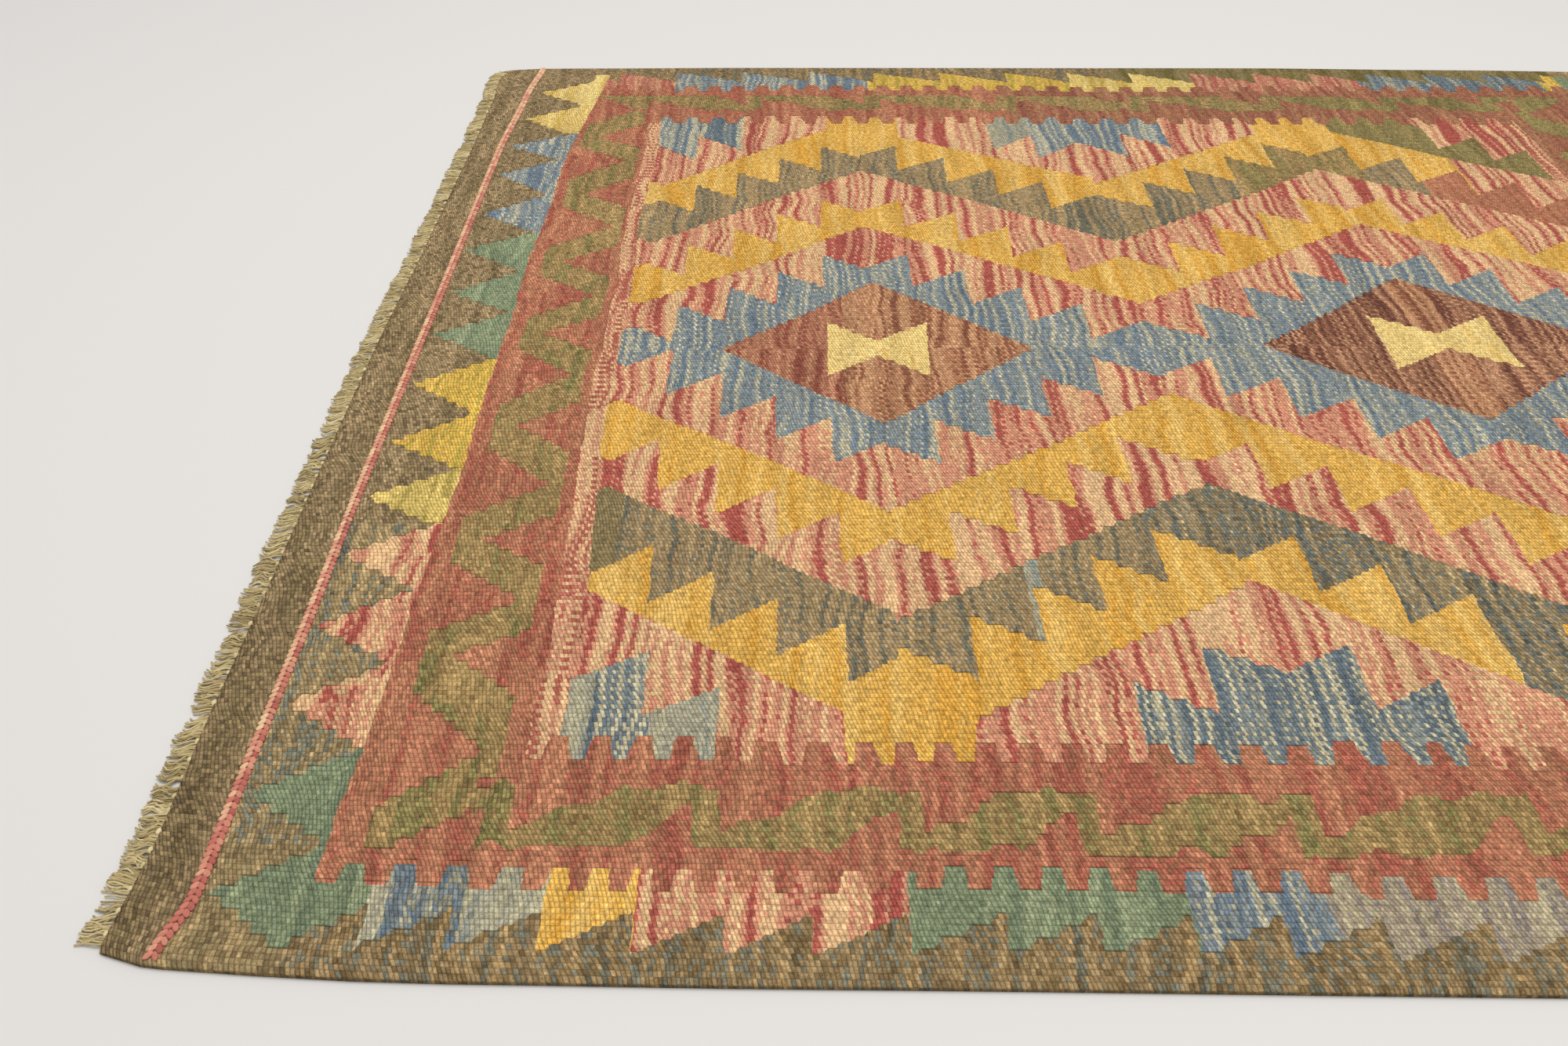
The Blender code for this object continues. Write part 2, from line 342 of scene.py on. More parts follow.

# %% [markdown]
# ## The yarns
#
# The wool is handspun and dyed in small lots, so no area is one colour. Most yarns are striped or flecked:
# the spinner has joined two or three shades, and a weaver passes them one after the other. Each row below
# is one such lot: three shades, how readily the second and the third turn up, and how flecked it is. The
# ground browns come last, as no slit shadow is painted where one brown takes over from another.

# %% Yarn lots
# columns: name, main, second and third shade, and in percent: second below, third above, fleck, run of 10 mm
YARNS = (
    ("brick", "#A96E54", "#B57C5D", "#9E5B49", 42, 60, 40, 70),
    ("meander_olive", "#987D52", "#A68A5A", "#807549", 42, 60, 50, 80),
    ("pink", "#C78A6D", "#D9B082", "#A6564A", 46, 60, 16, 52),
    ("dotted_pink", "#C78F70", "#D9AF82", "#AA6150", 46, 56, 14, 16),
    ("yellow", "#D5A653", "#DCB264", "#CE9942", 42, 62, 16, 80),
    ("pale_yellow", "#CCAE67", "#D8BE79", "#C0A151", 40, 64, 12, 90),
    ("yellow_green", "#C7AD62", "#DABD6E", "#A8934F", 46, 62, 16, 60),
    ("hourglass", "#E1C27B", "#E6CB88", "#D7B268", 36, 70, 10, 90),
    ("blue_cream", "#848A87", "#B4AD93", "#697680", 43, 57, 24, 36),
    ("blue", "#757C7D", "#A09C86", "#5F6C74", 43, 58, 45, 30),
    ("deep_blue", "#80857F", "#B9AF90", "#626D73", 44, 55, 22, 28),
    ("pale_blue", "#A09A83", "#B1A98A", "#8B8E81", 42, 64, 18, 60),
    ("teal", "#7D8768", "#8E9674", "#6F7A60", 40, 64, 20, 80),
    ("olive", "#96815F", "#A98E65", "#6C6858", 43, 60, 36, 34),
    ("dark_olive", "#80704E", "#8C7A55", "#70654A", 42, 62, 30, 70),
    ("grey_blue", "#8A7A5E", "#A58F69", "#606259", 44, 58, 60, 34),
    ("green", "#87784D", "#948352", "#786B43", 42, 62, 28, 70),
    ("brown", "#A97858", "#C0906A", "#85543F", 44, 59, 26, 28),
    ("red_brown", "#A36D54", "#B88263", "#8A5040", 42, 61, 24, 36),
    ("maroon", "#8B6049", "#B48565", "#6A4236", 44, 58, 26, 26),
    ("brick_brown", "#AC7256", "#B98160", "#9C6349", 40, 64, 26, 80),
    ("lilac", "#9C8D78", "#B0A384", "#877D75", 46, 60, 20, 50),
    ("mustard", "#CAA54D", "#D6AF5A", "#B09A47", 42, 60, 16, 50),
    ("straw", "#CFB468", "#D9BF78", "#BFA050", 42, 62, 14, 60),
    ("faded_rose", "#B5755F", "#C49472", "#A05C4C", 44, 60, 20, 40),
    ("far_brick", "#9A664D", "#A67858", "#8D5746", 42, 60, 30, 60),
    ("border_brown", "#97825D", "#A88F66", "#716F5E", 42, 62, 60, 50),
    ("strip_brown", "#8C7654", "#A0845A", "#6A6655", 42, 61, 70, 45),
    ("band_brown", "#8B7656", "#99825F", "#7A6849", 40, 62, 75, 90),
    ("sandy_brown", "#98815B", "#A68E66", "#80704F", 42, 61, 70, 50),
    ("edge_olive", "#7E6F48", "#8A7B55", "#6B6038", 40, 60, 30, 80),
)
YARN_SLOTS = 32
FIRST_BROWN = 26
NUMBER_OF = {row[0]: (count + 0.5) / YARN_SLOTS for count, row in enumerate(YARNS)}
print(len(YARNS), "yarn lots")

# %% [markdown]
# ## The chart
#
# A weaver works from a rule and not from a picture, and so do we. The chart is a node group. It takes a
# place on the rug, along and across in millimetres, and answers with the number of the yarn lot there.
#
# The field folds up neatly. Measured from the middle row, the upper half mirrors the lower one. Measured
# from the nearest diamond, the left mirrors the right. In those folded places every zone's edge is a
# straight slope or a slope with teeth, and the zones are nested, so the number of edges that a place is
# beyond is the number of its zone.

# %% The chart's field
chart = bpy.data.node_groups.new("kilim_chart", "ShaderNodeTree")
for socket_name, way in (("Along", "INPUT"), ("Across", "INPUT"), ("Yarn", "OUTPUT"), ("Lot", "OUTPUT")):
    chart.interface.new_socket(socket_name, in_out=way, socket_type="NodeSocketFloat")
chart_in = chart.nodes.new("NodeGroupInput")
place = {"along": chart_in.outputs["Along"], "across": chart_in.outputs["Across"], **NUMBER_OF}


def switched(rows):
    """Lay numbers that a switch changes: name, switch, value where that is 0, what a 1 adds to it."""
    for name, switch, value, added in rows:
        work_out(chart, place, f"{name} = MULTIPLY_ADD {switch} {added} {value}")


# in mm: the row through the diamonds, the left diamond's column, half a repeat
MIDDLE_ROW, DIAMOND_COLUMN, HALF_REPEAT = -17, -200, 188
place.update(
    middle_row=MIDDLE_ROW, row_slope=0.021, diamond_column=DIAMOND_COLUMN, between_diamonds=-12,
    half_repeat=HALF_REPEAT, per_flank=1 / HALF_REPEAT,
)
work_out(chart, place, """
    row_middle = MULTIPLY_ADD along row_slope middle_row
    from_row = SUBTRACT across row_middle
    upper = GREATER_THAN from_row 0
    from_diamond = SUBTRACT along diamond_column
    short_side = LESS_THAN from_diamond 0
    second = GREATER_THAN along between_diamonds
""")
# squeeze and stretch of the folded places; in mm, the half diamonds between the whole ones: their base,
# the fall of a tooth and the step to the next; the diamonds and the waists of their hourglasses
switched((
    ("squeeze", "upper", 1, -0.05), ("stretch", "short_side", 1, 0.16),
    ("mid_base", "upper", 302, 11), ("mid_fall", "upper", -20, -9), ("mid_step", "upper", 25, -9),
    ("diamond_middle", "second", -197.5, 374), ("half_width", "second", 103.5, 15),
    ("diamond_half", "upper", 87, -2), ("waist_middle", "second", -197, 377),
    ("waist_row", "second", -20, 11), ("waist_half", "second", 34, 6),
))
work_out(chart, place, """
    rise = ABSOLUTE from_row, MULTIPLY squeeze
    flank = MULTIPLY_ADD from_diamond per_flank 1, FLOOR, CLAMP 0 3
    flank_odd = FLOORED_MODULO flank 2, SUBTRACT 0.5
    flank_row = MULTIPLY_ADD upper 4 flank, MULTIPLY_ADD 0.125 0.0625
    reach = MULTIPLY from_diamond stretch, PINGPONG half_repeat
""")
print("folding the field takes", len(chart.nodes), "nodes")

# %% [markdown]
# No two flanks of the zigzag are quite alike. The weaver counts the teeth by eye, so each flank has its
# own pace of teeth and its own distances. One row for each flank, first the four below the middle row
# from left to right and then the four above it.

# %% The flanks
# columns: tooth pitch, start of the teeth, edges of the ring, inner yellow, olive and outer yellow, slope
# of the outer yellow, how much the teeth close up outwards, edge and slope of the first and second pink
FLANKS = (
    (39.8, 5.0, 105, 195, 282, 341, 0.56, 0.03, 172, 0.61, 256, 0.58),
    (36.6, 4.0, 105, 195, 282, 352, 0.62, 0.0, 172, 0.62, 263, 0.615),
    (39.5, 2.0, 107, 201, 290, 358, 0.67, 0.0, 181, 0.65, 272, 0.65),
    (39.5, 2.0, 107, 201, 290, 358, 0.67, 0.0, 181, 0.65, 272, 0.65),
    (39.3, 0.8, 102, 188, 285, 364, 0.675, 0.0, 166, 0.585, 263, 0.63),
    (38.7, 8.0, 101, 188, 286, 342, 0.515, 0.0, 166, 0.585, 263, 0.65),
    (39.2, 6.0, 100, 188, 285, 347, 0.595, 0.0, 162, 0.58, 259, 0.63),
    (39.0, 3.5, 97, 184, 280, 350, 0.62, 0.0, 165, 0.58, 259, 0.63),
)
FLANK_NUMBERS = (
    "pitch", "start", "ring", "inner", "olive_end", "outer", "slope", "closing",
    "first_pink", "first_slope", "second_pink", "second_slope",
)
# a ramp's colours hold numbers up to 1, so each length is kept as a share of this one, in mm
LONGEST = 400
NOT_LENGTHS = ("slope", "closing", "first_slope", "second_slope")
FLANK_SCALES = [1 if name in NOT_LENGTHS else LONGEST for name in FLANK_NUMBERS]
for first in (0, 4, 8):
    rows = [[row[column] / FLANK_SCALES[column] for column in range(first, first + 4)] for row in FLANKS]
    place.update(zip(FLANK_NUMBERS[first:first + 4], read_numbers(chart, place["flank_row"], rows)))
for name, scale in zip(FLANK_NUMBERS, FLANK_SCALES):
    work_out(chart, place, f"{name} = MULTIPLY {name} {scale}")
# in mm: how a tooth climbs and drops back, where teeth begin to lean and to close up, how far the last
# zone keeps off a diamond's column, and the place, pitch and number of teeth of the half diamonds
place.update(
    tooth_fall=-22, tooth_drop=23, last_tooth=4.999, lean_from=105, tooth_lean=0.03, closing_from=120,
    column_half=33, half_diamond_left=362, upper_shift=13, mid_pitch=37.5, mid_teeth=1.5, last_flank=2.5,
)
work_out(chart, place, """
    toward_column = SIGN flank_odd
    skew = ADD from_row lean_from, MINIMUM 0, MULTIPLY tooth_lean, MULTIPLY toward_column
    tooth = ADD reach start, ADD skew, DIVIDE pitch, CLAMP 0 last_tooth
    tooth_number = FLOOR tooth
    tooth_share = FRACT tooth
    closing = MULTIPLY closing tooth_number
    lowness = SUBTRACT closing_from rise
    toothed = MULTIPLY_ADD tooth_share tooth_fall rise
    toothed = MULTIPLY_ADD closing lowness toothed
    toothed = MULTIPLY_ADD tooth_number tooth_drop toothed
    first_sloped = MULTIPLY_ADD reach first_slope rise
    second_sloped = MULTIPLY_ADD reach second_slope rise
    off_column = GREATER_THAN reach column_half
    last_sloped = MULTIPLY_ADD reach slope rise, MULTIPLY off_column
    from_mid = SUBTRACT half_repeat reach
    from_left = MULTIPLY_ADD upper upper_shift along, ADD half_diamond_left
    mid_tooth = CHOOSE short_side from_mid from_left, ABSOLUTE, DIVIDE mid_pitch
    mid_number = FLOOR mid_tooth
    mid_share = FRACT mid_tooth
    mid_edge = MULTIPLY_ADD mid_share mid_fall mid_base
    mid_edge = MULTIPLY_ADD mid_number mid_step mid_edge
    close = LESS_THAN mid_number mid_teeth
    green_side = GREATER_THAN flank last_flank, MULTIPLY upper
    blue_side = SUBTRACT 1 green_side
    zone = GREATER_THAN rise mid_edge, MULTIPLY close, MULTIPLY blue_side
""")
# columns: folded measure, its value at the edge between two zones, in mm
ZONE_EDGES = (
    ("toothed", "ring"), ("first_sloped", "first_pink"), ("toothed", "inner"),
    ("second_sloped", "second_pink"), ("toothed", "olive_end"), ("last_sloped", "outer"),
)
for measure, edge in ZONE_EDGES:
    work_out(chart, place, f"zone = GREATER_THAN {measure} {edge}, ADD zone")
print(len(FLANKS), "flanks, with", len(FLANK_NUMBERS), "numbers each")

# %% [markdown]
# A row of colours that changes along the rug is a run table: where each yarn starts, and which it is. A
# colour ramp with hard stops reads such a table, with the yarn's number written as a grey.

# %% Run tables of the field
def grey(number):
    """A yarn's number as a grey for a ramp's stop."""
    return (number, number, number, 1.0)


def read_runs(measure, runs, low=-533, high=533):
    """Read a run table at a measure that goes from low to high, and give the yarn's number."""
    stops = [((start - low) / (high - low), grey(NUMBER_OF[yarn])) for start, yarn in runs]
    scale = 1 / (high - low)
    share = add_node(chart, "Math", (place[measure], scale, -low * scale), operation="MULTIPLY_ADD")
    return add_node(chart, "ValToRGB", (share.outputs[0],), stops).outputs[0]


def read_levels(measure, levels):
    """Read a table of numbers, each reached in a straight run from the one before."""
    places, numbers = zip(*levels)
    low, span, width = min(numbers), max(numbers) - min(numbers), places[-1] - places[0]
    stops = [((stop - places[0]) / width, grey((number - low) / span)) for stop, number in levels]
    terms = (place[measure], 1 / width, -places[0] / width)
    share = add_node(chart, "Math", terms, operation="MULTIPLY_ADD")
    level = add_node(chart, "ValToRGB", (share.outputs[0],), stops, "LINEAR")
    return add_node(chart, "Math", (level.outputs[0], span, low), operation="MULTIPLY_ADD").outputs[0]


ZONE_YARNS = (
    (0, "blue_cream"), (1, "pink"), (2, "yellow"), (3, "pink"), (4, "olive"), (5, "yellow"), (6, "pink"),
    (7, "blue_cream"),
)
# columns: place along the rug in mm, yarn from there on
ALONG_FIELD = {
    "olive_above": ((-533, "olive"), (104, "meander_olive"), (212, "olive"), (250, "brick_brown")),
    "olive_below": (
        (-533, "dark_olive"), (-352, "olive"), (-131, "pale_blue"), (-124, "olive"), (-62, "grey_blue"),
    ),
    "blue_above": ((-533, "blue_cream"), (-338, "deep_blue"), (-280, "pale_blue"), (-50, "blue_cream")),
    "blue_below": ((-533, "pale_blue"), (-352, "deep_blue"), (-324, "pale_blue"), (-250, "deep_blue")),
    "diamond_yarn": (
        (-533, "red_brown"), (-222, "brown"), (20, "maroon"), (165, "brown"), (188, "maroon"),
    ),
}
# in mm: the green teeth and how far the first reaches, the end of the yellow, the middle and half the
# length of the odd patch in it, and the hourglass's half waist and its flare
place.update(
    green_teeth=365, first_reach=110, yellow_to=291, patch=122, patch_half=17, waist=10, waist_flare=24,
)
work_out(chart, place, "zone_middle = ADD zone 0.5")
place["yarn"] = read_runs("zone_middle", ZONE_YARNS, 0, 8)
for name, runs in ALONG_FIELD.items():
    place[name] = read_runs("along", runs)
work_out(chart, place, """
    olive_here = CHOOSE upper olive_below olive_above
    yarn = COMPARE zone 4 0.5, CHOOSE yarn olive_here
    blue_here = CHOOSE upper blue_below blue_above
    yarn = COMPARE zone 7 0.5, CHOOSE yarn blue_here
    first_teeth = LESS_THAN reach first_reach
    under_teeth = LESS_THAN toothed green_teeth, MAXIMUM first_teeth, MULTIPLY green_side
    yarn = COMPARE zone 6 0.5, MULTIPLY under_teeth, CHOOSE yarn green
    in_yellow = COMPARE zone 5 0.5
    low_yellow = SUBTRACT 1 upper, MULTIPLY in_yellow
    yellow_end = GREATER_THAN along yellow_to, MULTIPLY green_side
    yarn = MULTIPLY in_yellow yellow_end, CHOOSE yarn pink
    yarn = COMPARE along patch patch_half, MULTIPLY low_yellow, CHOOSE yarn grey_blue
    diamond_share = SUBTRACT along diamond_middle, ABSOLUTE, DIVIDE half_width
    diamond_edge = SUBTRACT 1 diamond_share, MULTIPLY diamond_half
    yarn = LESS_THAN rise diamond_edge, CHOOSE yarn diamond_yarn
    waist_share = SUBTRACT along waist_middle, ABSOLUTE, DIVIDE waist_half
    waist_edge = MULTIPLY_ADD waist_share waist_flare waist
    in_width = LESS_THAN waist_share 1
    in_waist = SUBTRACT across waist_row, ABSOLUTE, LESS_THAN waist_edge
    yarn = MULTIPLY in_waist in_width, CHOOSE yarn hourglass
    lot = MULTIPLY_ADD upper 9 zone
""")
print("the field has", len(ZONE_YARNS), "zones")

# %% [markdown]
# ## The borders
#
# Round the field runs a brick-red border with an olive wave in it, and outside that a strip that changes
# colour every hand's breadth. The long sides have short prongs above and saw teeth below. The ends have a
# row of triangles. Both sides share one rule, as the far side is the near side folded over, and so do
# both ends. A weaver's repeats are never even, so tables say where each turn, prong and tooth falls. The
# right end lies outside the picture, so it follows the left one's tables, turned about.

# %% Tables of the borders
RUNS = {
    "near_yarn": (
        (-533, "teal"), (-430, "pale_blue"), (-424, "blue"), (-406, "pale_blue"), (-400, "blue"),
        (-390, "pale_blue"), (-357, "yellow"), (-319, "pink"), (-205, "teal"), (-91, "blue_cream"),
        (-30, "lilac"), (75, "pink"), (150, "yellow"), (225, "blue_cream"), (300, "teal"), (380, "pink"),
    ),
    "far_yarn": (
        (-533, "faded_rose"), (-368, "blue_cream"), (-190, "mustard"), (0, "straw"), (115, "faded_rose"),
        (270, "blue"), (435, "mustard"),
    ),
    "far_red": ((-533, "brick"), (-70, "far_brick")),
    "far_olive": ((-533, "meander_olive"), (175, "green")),
    "far_hem": ((-533, "strip_brown"), (35, "edge_olive")),
}
# columns: number of the triangle, yarn from there on
TRIANGLE_RUNS = {
    "triangle_yarn": (
        (0, "teal"), (2, "pink"), (5, "yellow_green"), (6, "mustard"), (8, "teal"), (11, "blue_cream"),
        (14, "pale_yellow"),
    ),
    "ground_yarn": ((0, "sandy_brown"), (1, "border_brown"), (5, "band_brown")),
}
# columns: place along a side in mm, how many turns, prongs or teeth lie before it
SIDE_LEVELS = {
    "near_wave": ((-533, -1.7), (-377, 0), (-284, 1), (-196, 2), (-117, 3), (-20, 4), (76, 5), (533, 9.8)),
    "far_wave": (
        (-533, -1.4), (-388, 0), (-285, 1), (-178, 2), (-55, 3), (63, 4), (183, 5), (290, 6), (378, 7),
        (533, 8.4),
    ),
    "near_prong": (
        (-533, -7.6), (-372, 0), (-291, 4), (-275, 5), (-229, 7), (-174, 10), (-92, 14), (-9.5, 18),
        (15, 19), (36, 20), (88, 23), (533, 45),
    ),
    "far_prong": (
        (-533, -7.4), (-367, 0), (-299, 3), (-28, 15), (69, 19), (115, 21), (196, 25), (269, 28),
        (533, 39.8),
    ),
    "near_comb": ((-533, -4.3), (-439, 0), (-370.6, 3), (-349.6, 4), (-247, 10), (63, 25), (533, 47.8)),
    "near_saw": (
        (-533, 0.99), (-492, 0.99), (-461, 0.01), (-428, 1), (-243, 6), (-50, 11), (32, 13), (533, 25.5),
    ),
    "far_saw": (
        (-533, -2), (-421, 0), (-366, 1), (-181, 4), (-118, 5), (-56, 6), (1, 7), (175, 10), (390, 14),
        (533, 16.6),
    ),
}
# columns: place along an end in mm, how many turns or triangles lie before it, or how far an edge leans out
END_LEVELS = {
    "turn": (
        (-476, -1), (-424, 0), (-372, 1), (-310, 2), (-269, 3), (-220.6, 4), (-169, 5), (-110, 6),
        (-54, 7), (-3, 8), (45.6, 9), (97, 10), (154.4, 11), (210, 12), (272, 13), (320.6, 14), (381, 15),
        (430, 16), (490, 17.2),
    ),
    "beat": (
        (-482, 0), (-454.4, 0.5), (-398.5, 1.5), (-341, 2.5), (-289.7, 3.5), (-234.4, 4.5), (-183, 5.5),
        (-128.5, 6.5), (-65.3, 7.5), (-5, 8.5), (51.5, 9.5), (114.7, 10.5), (173.5, 11.5), (244, 12.5),
        (301.5, 13.5), (325, 14), (360, 14.5), (388, 15), (420, 15.5), (446, 16),
    ),
    "dots_lean": (
        (-490, 7), (-250, 8), (-200, 4), (-110, 0), (60, 0), (160, -6), (220, -4.5), (300, -2), (490, -2),
    ),
    "base_lean": (
        (-490, -6), (-400, -4.9), (-300, -1.3), (-200, 0.7), (60, -0.2), (120, 1.8), (260, 4), (320, 6.4),
        (400, 12.6), (490, 20),
    ),
}
place.update(far_shift=-12)
work_out(chart, place, """
    far = GREATER_THAN across 0
    folded = MULTIPLY_ADD across -1 far_shift
    edge = CHOOSE far across folded
    side = ABSOLUTE along
    end_sign = SIGN along
    end_across = MULTIPLY across end_sign, MULTIPLY -1
""")
switched((("strip_line", "far", -447, -3), ("saw_rise", "far", 20, 7), ("saw_line", "far", -477, -9)))
for measure, levels_of in (("along", SIDE_LEVELS), ("end_across", END_LEVELS)):
    for name, levels in levels_of.items():
        place[name] = read_levels(measure, levels)
for name, runs in RUNS.items():
    place[name] = read_runs("along", runs)
for name, runs in TRIANGLE_RUNS.items():
    place[name] = read_runs("beat", runs, 0, 16)
print("tables of turns and teeth:", ", ".join([*SIDE_LEVELS, *END_LEVELS]))

# %% The wave, the strip and the triangles
place.update(
    # in mm from the middle of the rug towards an end
    dots_at=369.5, wave_from=380, border_at=381, corner_at=387, wave_to=438,
    base_at=450, spine_to=453, tip_at=499, band_at=503,
    # in mm from the middle of the rug towards a side
    field_at=-363, corner_from=-388, top_line=-415, foot_line=-424, wave_floor=-426, hem_at=-479,
    # the end wave, which cuts 43 mm in from outside over 33 mm, and 44 mm from inside over 29 mm
    turn_mm=54.15, outer_slope=-43 / 33, outer_cut=43, inner_slope=44 / 29, inner_start=44 - 54.15 * 44 / 29,
    # the side wave, whose top rises 24 mm in 0.52 of a turn, and its foot 22.5 mm in 0.34 from 0.53 on
    top_slope=24 / 0.52, top_rise=24, foot_slope=22.5 / 0.34, foot_start=-0.53 * 22.5 / 0.34,
    foot_to=0.87, far_foot=-3,
    # how the side wave's edge wavers, in short bumps and long swells
    bump_span=13.7, bump_slope=0.34, bump_shift=-2.3, swell_span=37, swell_slope=0.1,
    # prongs and combs: slope of their sides, height if they came to a point, and length
    prong_slope=-102, prong_peak=31, prong_length=14, comb_slope=-5.5, comb_peak=34, comb_length=11.5,
    near_comb_swing=20.6, far_comb_half=11.125, far_comb_shift=6.4,
    # how much of a lean the border's edge and the triangles' tips follow, and a triangle's slope
    border_lean=0.6, tip_lean=0.35, triangle_slope=92,
)
work_out(chart, place, """
    outer_tip = MULTIPLY_ADD turn turn_mm turn_mm, PINGPONG turn_mm
    outer_ok = MULTIPLY_ADD outer_tip outer_slope outer_cut, MAXIMUM 0, ADD side, LESS_THAN wave_to
    inner_cut = MULTIPLY_ADD outer_tip inner_slope inner_start, MAXIMUM 0
    end_wave = SUBTRACT side inner_cut, GREATER_THAN wave_from, MULTIPLY outer_ok
    wave = CHOOSE far near_wave far_wave, FRACT
    wave_top = MULTIPLY wave top_slope, MINIMUM top_rise, ADD top_line
    leg = LESS_THAN wave foot_to
    wave_foot = MULTIPLY_ADD wave foot_slope foot_start, MAXIMUM 0, MULTIPLY leg, ADD foot_line
    wave_foot = MULTIPLY_ADD far far_foot wave_foot
    bumps = PINGPONG along bump_span, MULTIPLY_ADD bump_slope bump_shift
    bumpy_edge = PINGPONG along swell_span, MULTIPLY_ADD swell_slope bumps, ADD edge
    above_foot = GREATER_THAN bumpy_edge wave_foot
    side_wave = LESS_THAN bumpy_edge wave_top, MULTIPLY above_foot
    at_end = LESS_THAN edge corner_from, MULTIPLY_ADD -7 side, GREATER_THAN corner_at
    above_floor = GREATER_THAN edge wave_floor
    waved = CHOOSE at_end side_wave end_wave, MULTIPLY above_floor
    red = CHOOSE far brick far_red
    olive_wave = CHOOSE far meander_olive far_olive
    border = CHOOSE waved red olive_wave
    yarn = ADD dots_lean side, GREATER_THAN dots_at, CHOOSE yarn dotted_pink
    prong = CHOOSE far near_prong far_prong, PINGPONG 0.5
    prong = MULTIPLY_ADD prong prong_slope prong_peak, CLAMP 0 prong_length
    field_edge = SUBTRACT field_at prong
    past_side = LESS_THAN edge field_edge
    in_border = MULTIPLY_ADD dots_lean border_lean side, GREATER_THAN border_at, MAXIMUM past_side
    yarn = CHOOSE in_border yarn border
    near_comb = PINGPONG near_comb 0.5, MULTIPLY near_comb_swing
    far_comb = ADD along far_comb_shift, PINGPONG far_comb_half
    comb = CHOOSE far near_comb far_comb, MULTIPLY_ADD comb_slope comb_peak, CLAMP 0 comb_length
    strip_top = ADD strip_line comb
    in_strip = LESS_THAN edge strip_top
    saw = CHOOSE far near_saw far_saw, FRACT
    saw_foot = MULTIPLY_ADD saw saw_rise saw_line
    on_saw = GREATER_THAN edge saw_foot
    strip_yarn = CHOOSE far near_yarn far_yarn
    hem_yarn = CHOOSE far strip_brown far_hem
    strip_yarn = CHOOSE on_saw hem_yarn strip_yarn
    yarn = CHOOSE in_strip yarn strip_yarn
    tip_side = MULTIPLY_ADD base_lean tip_lean side
    in_spine = LESS_THAN tip_side spine_to
    off_hem = GREATER_THAN edge hem_at
    from_tip = FRACT beat, SUBTRACT 0.5, ABSOLUTE, MULTIPLY_ADD triangle_slope tip_side
    in_triangle = LESS_THAN from_tip tip_at, MAXIMUM in_spine, MULTIPLY off_hem
    end_yarn = CHOOSE in_triangle ground_yarn triangle_yarn
    yarn = ADD side base_lean, GREATER_THAN base_at, CHOOSE yarn end_yarn
    yarn = GREATER_THAN side band_at, CHOOSE yarn band_brown
""")
chart_out = chart.nodes.new("NodeGroupOutput")
chart.links.new(place["yarn"], chart_out.inputs["Yarn"])
chart.links.new(place["lot"], chart_out.inputs["Lot"])
print("the chart has", len(chart.nodes), "nodes")

# %% [markdown]
# ## Wool woven weft-faced
#
# The material is plain matt wool. On each rib one sees every other pick of weft, as a bead about 2 mm
# long, and the beads of the next rib lie half a bead along. A single pick of another colour therefore
# shows as a dotted line, and two together as a wavy one.
#
# A colour area steps from one pair of ribs to the next, so the chart is read at the middle of a pair. It
# is read a second time across the nearest edge of the pair: where the two answers differ there is a
# slit, and the shadow in it is painted into the colour as a thin dark line.

# %% Weft-faced wool
PICK_MM, RIB_MM, HALF_CLOTH = 1.0, RIB_PITCH / MM, CLOTH_WIDTH / MM / 2
wool, tree, shader = matt_material("weft_faced_wool", roughness=0.92, specular=0.05)
weave = add_node(tree, "Attribute", attribute_name="weave").outputs["Vector"]
split = add_node(tree, "SeparateXYZ", (weave,))
here = {"u": split.outputs[0], "v": split.outputs[1], "middle_row": MIDDLE_ROW, "rib_mm": RIB_MM}
here.update(
    # ribs and picks, the flanks of the zigzag, and the field, where steps are fine
    ribs_per_mm=1 / RIB_MM, middle_rib=RIB_COUNT / 2, cloth_edge=-HALF_CLOTH, beads_per_mm=0.5 / PICK_MM,
    tens_per_pick=PICK_MM / 10, per_flank=1 / HALF_REPEAT, first_flank=-DIAMOND_COLUMN / HALF_REPEAT,
    field_half=372,
    # how far a step's edge lags, a bead's slope, where in a block a slit's painted shadow lies, how dark it
    # is
    step_lag=0.35, bead_slope=0.4, slit_from=0.41, block_slit=-0.38, fine_slit=0.25,
    # the paler end: it starts 385 mm out, takes 70 mm and fades over 330 mm across
    fade_slope=-1 / 70, fade_start=-385 / 70, across_slope=1 / 330, fade_light=0.11,
    # how far apart the lots of wool lie in the noise, and how fast that drifts across the rug
    yarn_apart=411, lot_apart=7.3, lot_drift=1 / 420, first_brown=FIRST_BROWN / YARN_SLOTS,
)


def soft_noise(long, wide, detail):
    """Soft noise over the cloth, in lumps about this long and wide in mm."""
    at = add_node(tree, "VectorMath", (weave, (1 / long, 1 / wide, 0)), operation="MULTIPLY").outputs[0]
    return add_node(tree, "TexNoise", {0: at, 2: 1, 3: detail}, noise_dimensions="2D").outputs


def sway(**sizes):
    """Turn noises into strays, each of this size from one side to the other."""
    for name, size in sizes.items():
        work_out(tree, here, f"{name} = MULTIPLY_ADD {name} {size} {-size / 2}")


def dice(*spot):
    """A number from 0 to 1 that jumps from one whole spot to the next."""
    at = add_node(tree, "CombineXYZ", (*spot, 0)).outputs[0]
    return add_node(tree, "TexWhiteNoise", {0: at}, noise_dimensions="2D").outputs[0]


drift = add_node(tree, "SeparateColor", (soft_noise(130, 130, 1)["Color"],)).outputs
here.update(drift_u=drift[0], drift_v=drift[1])
